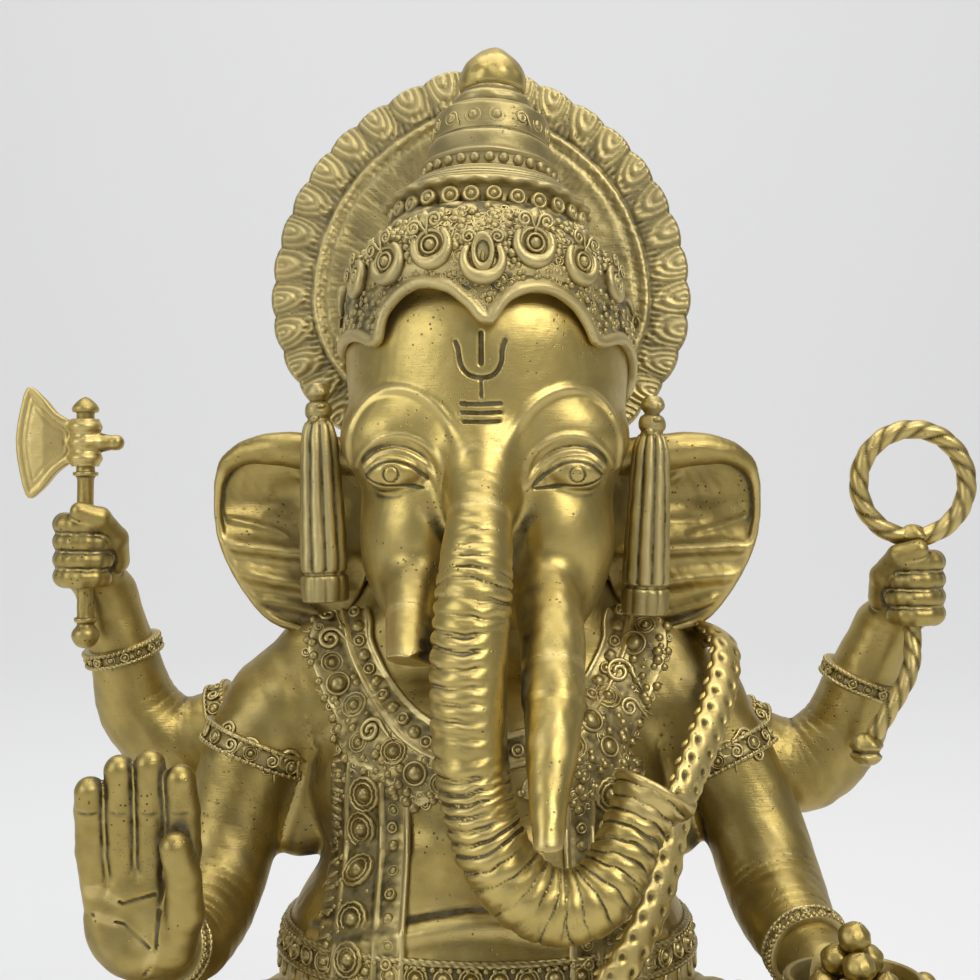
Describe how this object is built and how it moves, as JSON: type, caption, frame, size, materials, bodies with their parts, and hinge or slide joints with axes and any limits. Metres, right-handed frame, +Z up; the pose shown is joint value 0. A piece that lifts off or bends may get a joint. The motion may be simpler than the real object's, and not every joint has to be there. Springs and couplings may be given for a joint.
{
  "type": "seated deity statue",
  "caption": "Seated four-armed elephant-headed deity on a round-ended lotus pedestal, with a tiered crown, a leafed halo, hung ornaments and held attributes, assembled from cast brass pieces",
  "frame": {"origin": "centre of the pedestal's flat resting face", "axes": "+Z up from the resting face to the crown; the figure faces -Y; +X is the figure's left, the viewer's right"},
  "size_m": [0.2848, 0.1606, 0.3845],
  "materials": {
    "aged_brass": "cast, filed and worn, olive-brown patina in the recesses",
    "burnished_brass": "smooth and rubbed bright, with small casting pits",
    "ornament_brass": "chased relief, bright on the high points and dark between them",
    "dusty_brass": "dull and stippled, with pale dust in the crevices",
    "steel_fixings": "plain turned steel"
  },
  "bodies": {
    "root": {"base_plate": "dusty_brass", "base_plate_screws": "steel_fixings", "plinth": "dusty_brass", "lotus_lower_petals": "dusty_brass", "lotus_bead_ring": "dusty_brass", "lotus_upper_petals": "dusty_brass", "seat_slab": "dusty_brass", "seat_studs": "steel_fixings", "seat_washers": "steel_fixings", "seat_nuts": "steel_fixings", "right_leg": "aged_brass", "left_leg": "aged_brass", "right_foot": "aged_brass", "left_foot": "aged_brass", "anklets": "ornament_brass", "dhoti_fan": "ornament_brass", "waist_belt": "ornament_brass", "torso": "aged_brass", "belly_band": "ornament_brass", "neck_collar": "ornament_brass", "rosette_necklace": "ornament_brass", "chest_sashes": "ornament_brass", "serpent_cord": "ornament_brass", "head": "burnished_brass", "trunk": "burnished_brass", "left_tusk": "burnished_brass", "right_tusk_stub": "burnished_brass", "left_ear": "dusty_brass", "right_ear": "dusty_brass", "left_tassel": "dusty_brass", "right_tassel": "dusty_brass", "tiara": "dusty_brass", "crown": "dusty_brass", "crown_beads": "dusty_brass", "crown_finial": "aged_brass", "halo": "dusty_brass", "halo_bolt": "steel_fixings", "halo_nut": "steel_fixings", "front_right_arm": "aged_brass", "front_right_hand": "aged_brass", "front_left_arm": "aged_brass", "front_left_hand": "aged_brass", "rear_right_arm": "aged_brass", "rear_right_hand": "aged_brass", "rear_left_arm": "aged_brass", "rear_left_hand": "aged_brass", "armlets": "ornament_brass", "bangles": "ornament_brass", "sweets_bowl": "aged_brass", "sweets": "aged_brass", "axe_shaft": "aged_brass", "axe_blade": "aged_brass", "noose": "aged_brass"}
  },
  "joints": []
}
